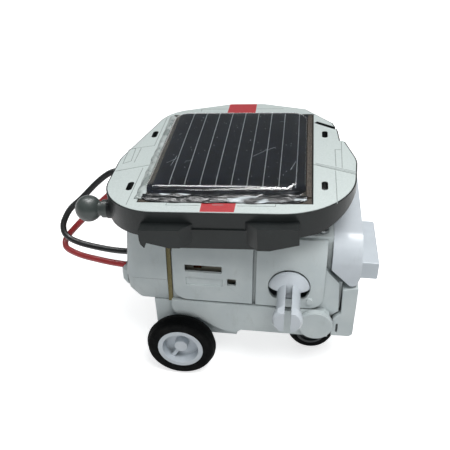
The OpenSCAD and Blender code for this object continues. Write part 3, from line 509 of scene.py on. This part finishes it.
# Where the thinner stretches of resin and the sawn edge lie round the dome.
RUN_OUT_SHIFT = 0.3
RUN_OUT_X = (DOME_X[0] + RUN_OUT_SHIFT, DOME_X[1] + RUN_OUT_SHIFT)
RUN_OUT_Y = (-32.3, -28.3)
LEFT_EDGE_X = (-27.0, -24.3)
LEFT_EDGE_Y = (-30.5, 25.6)
RIGHT_EDGE_X = (21.2, 22.7)
RIGHT_EDGE_Y = (-29.0, 26.0)


def dome_height(x, y):
    """Crowned surface with broad round shoulders that close down on the board."""
    u, v = abs(x - sum(DOME_X) / 2), abs(y - sum(DOME_Y) / 2)
    # Distance in from the rounded rectangle that bounds the dome.
    out_x = max(0.0, u - DOME_HALF[0] + SHOULDER)
    out_y = max(0.0, v - DOME_HALF[1] + SHOULDER)
    inset = SHOULDER - math.hypot(out_x, out_y)
    if inset <= 0:
        return 0.0
    round_part = math.sqrt(1 - (1 - min(1.0, inset / SHOULDER)) ** 2)
    crown = CROWN * (1 - (u / DOME_HALF[0]) ** 2) * (1 - (v / DOME_HALF[1]) ** 2)
    return (DOME_H - CROWN) * round_part + crown


def fold_height(x, y):
    """Height of the long folds in the crumpled run-out."""
    place = Vector((x * 0.12, y * 0.34, 3.7))
    fold = abs(noise.noise(place * 1.3)) + 0.3 * abs(noise.noise(place * 3.3))
    return 0.2 + 0.9 * fold


def grid_solid(x_range, y_range, columns, rows, top, floor):
    """A closed solid over a rectangle of the panel. top(x, y) says where each point goes."""
    bm = bmesh.new()
    tops, feet = [], []
    for j in range(rows + 1):
        for i in range(columns + 1):
            x = x_range[0] + (x_range[1] - x_range[0]) * i / columns
            y = y_range[0] + (y_range[1] - y_range[0]) * j / rows
            x, y, z = top(x, y)
            tops.append(bm.verts.new(on_panel(x, y, z)))
            feet.append(bm.verts.new(on_panel(x, y, floor)))

    def quad(store, i, j):
        a = j * (columns + 1) + i
        return [store[a], store[a + 1], store[a + columns + 2], store[a + columns + 1]]

    for j in range(rows):
        for i in range(columns):
            bm.faces.new(quad(tops, i, j))
            bm.faces.new(quad(feet, i, j)[::-1])
    rim = [j * (columns + 1) for j in range(rows + 1)]
    rim += [rows * (columns + 1) + i for i in range(1, columns + 1)]
    rim += [j * (columns + 1) + columns for j in range(rows - 1, -1, -1)]
    rim += [i for i in range(columns - 1, 0, -1)]
    for a, b in zip(rim, rim[1:] + rim[:1]):
        bm.faces.new([tops[a], tops[b], feet[b], feet[a]])
    return bm


def dome_top(x, y):
    """The dome, with a thin film left in the corners of its rectangle."""
    return x, y, max(BOARD_TOP + 0.05, dome_height(x, y))


def run_out_top(x, y):
    """Crumpled sheet whose front edge wanders, and draws back at both ends."""
    front = (RUN_OUT_Y[1] - y) / (RUN_OUT_Y[1] - RUN_OUT_Y[0])
    side = (2 * x - DOME_X[0] - DOME_X[1]) / (DOME_X[1] - DOME_X[0])
    # From 0 to 1 over the last stretch at either end.
    corner = max(0.0, abs(side) - 0.84) / 0.16
    y += front * (0.9 * noise.noise(Vector((x * 0.21, 1.3, 0.0))) + 2.0 * corner ** 2)
    return x, y, BOARD_TOP + 0.1 + fold_height(x, y) * (1 - 0.6 * front ** 3)


def left_edge_top(x, y):
    """Milky sheet of resin between the dome and the left-hand sticker."""
    share = (x - LEFT_EDGE_X[0]) / (LEFT_EDGE_X[1] - LEFT_EDGE_X[0])
    x += (1 - share) * 0.5 * noise.noise(Vector((0.0, y * 0.24, 4.1)))
    return x, y, BOARD_TOP + 0.15 + 0.5 * math.sin(math.pi * min(1.0, 0.15 + share)) ** 2


def right_edge_top(x, y):
    """Crumbs of the sawn board's edge beside the dome."""
    crumb = max(0.0, noise.noise(Vector((x * 1.9, y * 1.1, 8.2)))) ** 2
    return x, y, BOARD_TOP + 0.4 + 0.8 * crumb


def make_resin():
    """The dome, the resin that ran out round it, and the sawn edge on its right."""
    dome = grid_solid(DOME_X, DOME_Y, 160, 190, dome_top, BOARD_TOP)
    add_piece("resin_dome", dome, LOOKS["resin"], BODY, ("clear_resin",))
    run_out = grid_solid(RUN_OUT_X, RUN_OUT_Y, 220, 40, run_out_top, BOARD_TOP)
    add_piece("resin_run_out", run_out, run_out_look(), BODY)
    left = grid_solid(LEFT_EDGE_X, LEFT_EDGE_Y, 12, 160, left_edge_top, BOARD_TOP)
    add_piece("resin_left_edge", left, milky_look(), BODY)
    right = grid_solid(RIGHT_EDGE_X, RIGHT_EDGE_Y, 10, 240, right_edge_top, BOARD_TOP)
    add_piece("board_right_edge", right, LOOKS["board"], BODY)


# Hairline scratches on top of the dome, as points in the panel's plan.
SCRATCHES = [
    [(5.0, -10.2), (8.4, -6.4), (11.6, -3.6)],
    [(-20.6, -13.6), (-17.4, -10.6)],
    [(-19.0, -15.6), (-18.2, -9.2)],
    [(-15.0, -13.0), (-12.8, -12.6)],
    [(16.6, -17.6), (18.0, -12.0)],
    [(12.2, 15.4), (13.6, 15.6)],
]
SCRATCH_HALF_W = 0.07
SCRATCH_LIFT = 0.05
SPECKS = 110
SPECK_SEED = 11
SPECK_X = (-23, 18.5)
SPECK_Y = (-25, 24)
SPECK_R = (0.05, 0.16)
SPECK_LIFT = 0.04


def make_scratches():
    """Scratches and caught dust, as slivers that lie on the resin."""
    bm = bmesh.new()

    def sliver(points, lift):
        bm.faces.new([bm.verts.new(on_panel(x, y, dome_height(x, y) + lift))
                      for x, y in points])

    for stroke in SCRATCHES:
        for (x0, y0), (x1, y1) in zip(stroke, stroke[1:]):
            way = Vector((x1 - x0, y1 - y0)).normalized() * SCRATCH_HALF_W
            sliver([(x0 + way.y, y0 - way.x), (x1 + way.y, y1 - way.x),
                    (x1 - way.y, y1 + way.x), (x0 - way.y, y0 + way.x)], SCRATCH_LIFT)
    rng = random.Random(SPECK_SEED)
    for _ in range(SPECKS):
        x, y = rng.uniform(*SPECK_X), rng.uniform(*SPECK_Y)
        r, turn = rng.uniform(*SPECK_R), rng.uniform(0, math.pi)
        sliver([(x + r * math.cos(turn + k * math.pi / 3) * (1 + (k % 3) * 0.2),
                 y + r * math.sin(turn + k * math.pi / 3)) for k in range(6)], SPECK_LIFT)
    add_piece("resin_scratches", bm, SCRATCH, BODY, smooth=False)


make_resin()
make_scratches()

# ------------------------------------------------------------------ print on the stickers

STICKER_TOP = 0.15
INK_T = 0.03
LINE_W = 0.22

# Strokes of the printed panel lines, as points in the panel's plan.
STROKES = [
    [(23.9, -9.2), (35.6, -14.6)],
    [(23.9, -8.5), (35.6, -13.8)],
    [(29.6, -13.2), (29.6, -31.6)],
    [(29.8, -10.4), (29.8, 0.6), (31.7, 0.6)],
    [(31.9, 6.0), (31.6, -11.2)],
    [(-36.6, -14.3), (-26.9, -10.2)],
    [(-28.6, -33.6), (-28.6, -12.2)],
    [(-35.6, -9.4), (-36.0, 0.6), (-33.9, 1.0), (-33.4, -7.6), (-35.6, -9.4)],
    [(-32.2, -8.4), (-32.2, 1.4)],
    [(-36.0, 0.6), (-28.2, 3.2)],
    [(-28.2, 3.2), (-28.2, 25.0)],
    [(-17.3, -32.6), (-17.3, -33.6), (-7.9, -33.6)],
    [(2.7, -33.6), (13.0, -33.6), (13.0, -32.6)],
    [(-4.3, -33.2), (-1.4, -33.2)],
    [(-7.2, -29.9), (1.9, -29.9)],
    [(-16.8, 30.6), (-16.8, 32.6), (-7.6, 32.6)],
    [(3.2, 32.6), (12.4, 32.6)],
]


def make_print():
    """The strokes as thin raised bars of ink."""
    bm = bmesh.new()
    half = LINE_W / 2
    for stroke in STROKES:
        for (x0, y0), (x1, y1) in zip(stroke, stroke[1:]):
            way = Vector((x1 - x0, y1 - y0)).normalized()
            side = Vector((-way.y, way.x)) * half
            a, b = Vector((x0, y0)) - way * half, Vector((x1, y1)) + way * half
            corners = [a - side, b - side, b + side, a + side]
            low = [bm.verts.new(on_panel(c.x, c.y, STICKER_TOP)) for c in corners]
            high = [bm.verts.new(on_panel(c.x, c.y, STICKER_TOP + INK_T)) for c in corners]
            bm.faces.new(low[::-1])
            bm.faces.new(high)
            for k in range(4):
                bm.faces.new([low[k], low[(k + 1) % 4], high[(k + 1) % 4], high[k]])
    add_piece("printed_lines", bm, INK, BODY, smooth=False)


make_print()

# ------------------------------------------------------------------ light


def aim_lamp(name, kind, way, at=(0, 0, 0), shiny=False, **settings):
    """A lamp that shines along way. A shiny one is only seen in reflections."""
    data = bpy.data.lights.new(name, kind)
    for key, value in settings.items():
        setattr(data, key, value)
    lamp = bpy.data.objects.new(name, data)
    lamp.location = at
    lamp.rotation_euler = Vector(way).to_track_quat("-Z", "Y").to_euler()
    lamp.visible_glossy = shiny
    lamp.visible_diffuse = not shiny
    bpy.context.scene.collection.objects.link(lamp)


# Overhead lamps whose reflections bend round the front shoulder of the resin: each one's
# name, place in x, width and energy, and then the length and energy share of its two parts.
GLINTS = (("left", -0.125, 0.05, 0.5), ("right", 0.03, 0.06, 0.9))
GLINT_PARTS = (("core", 0.26, 1.2), ("halo", 0.6, 1.5))
FLOOR_SIZE = 6.0


def make_world():
    """Plain colours and a faint cool light from all round."""
    scene = bpy.context.scene
    scene.view_settings.view_transform = "Standard"
    world = bpy.data.worlds.new("studio")
    world.use_nodes = True
    background = world.node_tree.nodes["Background"]
    background.inputs["Color"].default_value = (0.90, 0.96, 1, 1)
    background.inputs["Strength"].default_value = 0.17
    scene.world = world


def make_lamps():
    """Soft light from above and in front, and lamps that only show as reflections."""
    aim_lamp("top_light", "SUN", (-0.22, -0.20, -1.0), angle=math.radians(60), energy=1.25)
    aim_lamp("key_light", "AREA", (-0.06, 0.09, -0.2), at=(0.07, -0.14, 0.28),
             shape="DISK", size=0.14, energy=0.42)
    aim_lamp("front_fill", "SUN", (0.1, 0.94, -0.30), angle=math.radians(40), energy=0.60)
    for side, x, width, energy in GLINTS:
        for part, length, share in GLINT_PARTS:
            aim_lamp(f"{side}_glint_{part}", "AREA", (-2 * x, -0.1, -1.0), at=(x, 0.10, 0.46),
                     shiny=True, shape="ELLIPSE", size=width, size_y=length,
                     energy=energy * share)
    # A dim panel far behind, for the sheen on faces that look up.
    aim_lamp("back_sheen", "AREA", (-0.1, -1.0, -0.55), at=(0.4, 0.8, 0.5), shiny=True,
             shape="RECTANGLE", size=0.7, size_y=0.5, energy=0.03)


def make_floor():
    """A floor that is bright enough to look white, but only lights the model by reflection."""
    bpy.ops.mesh.primitive_plane_add(size=FLOOR_SIZE, location=(0, 0, 0))
    floor = bpy.context.object
    floor.name = "floor"
    floor.visible_diffuse = False
    material = bpy.data.materials.new("floor")
    material.use_nodes = True
    shader = material.node_tree.nodes["Principled BSDF"]
    shader.inputs["Base Color"].default_value = (0.9, 0.9, 0.9, 1)
    shader.inputs["Roughness"].default_value = 0.9
    shader.inputs["Emission Color"].default_value = (1, 1, 1, 1)
    shader.inputs["Emission Strength"].default_value = 0.66
    floor.data.materials.append(material)


make_world()
make_lamps()
make_floor()
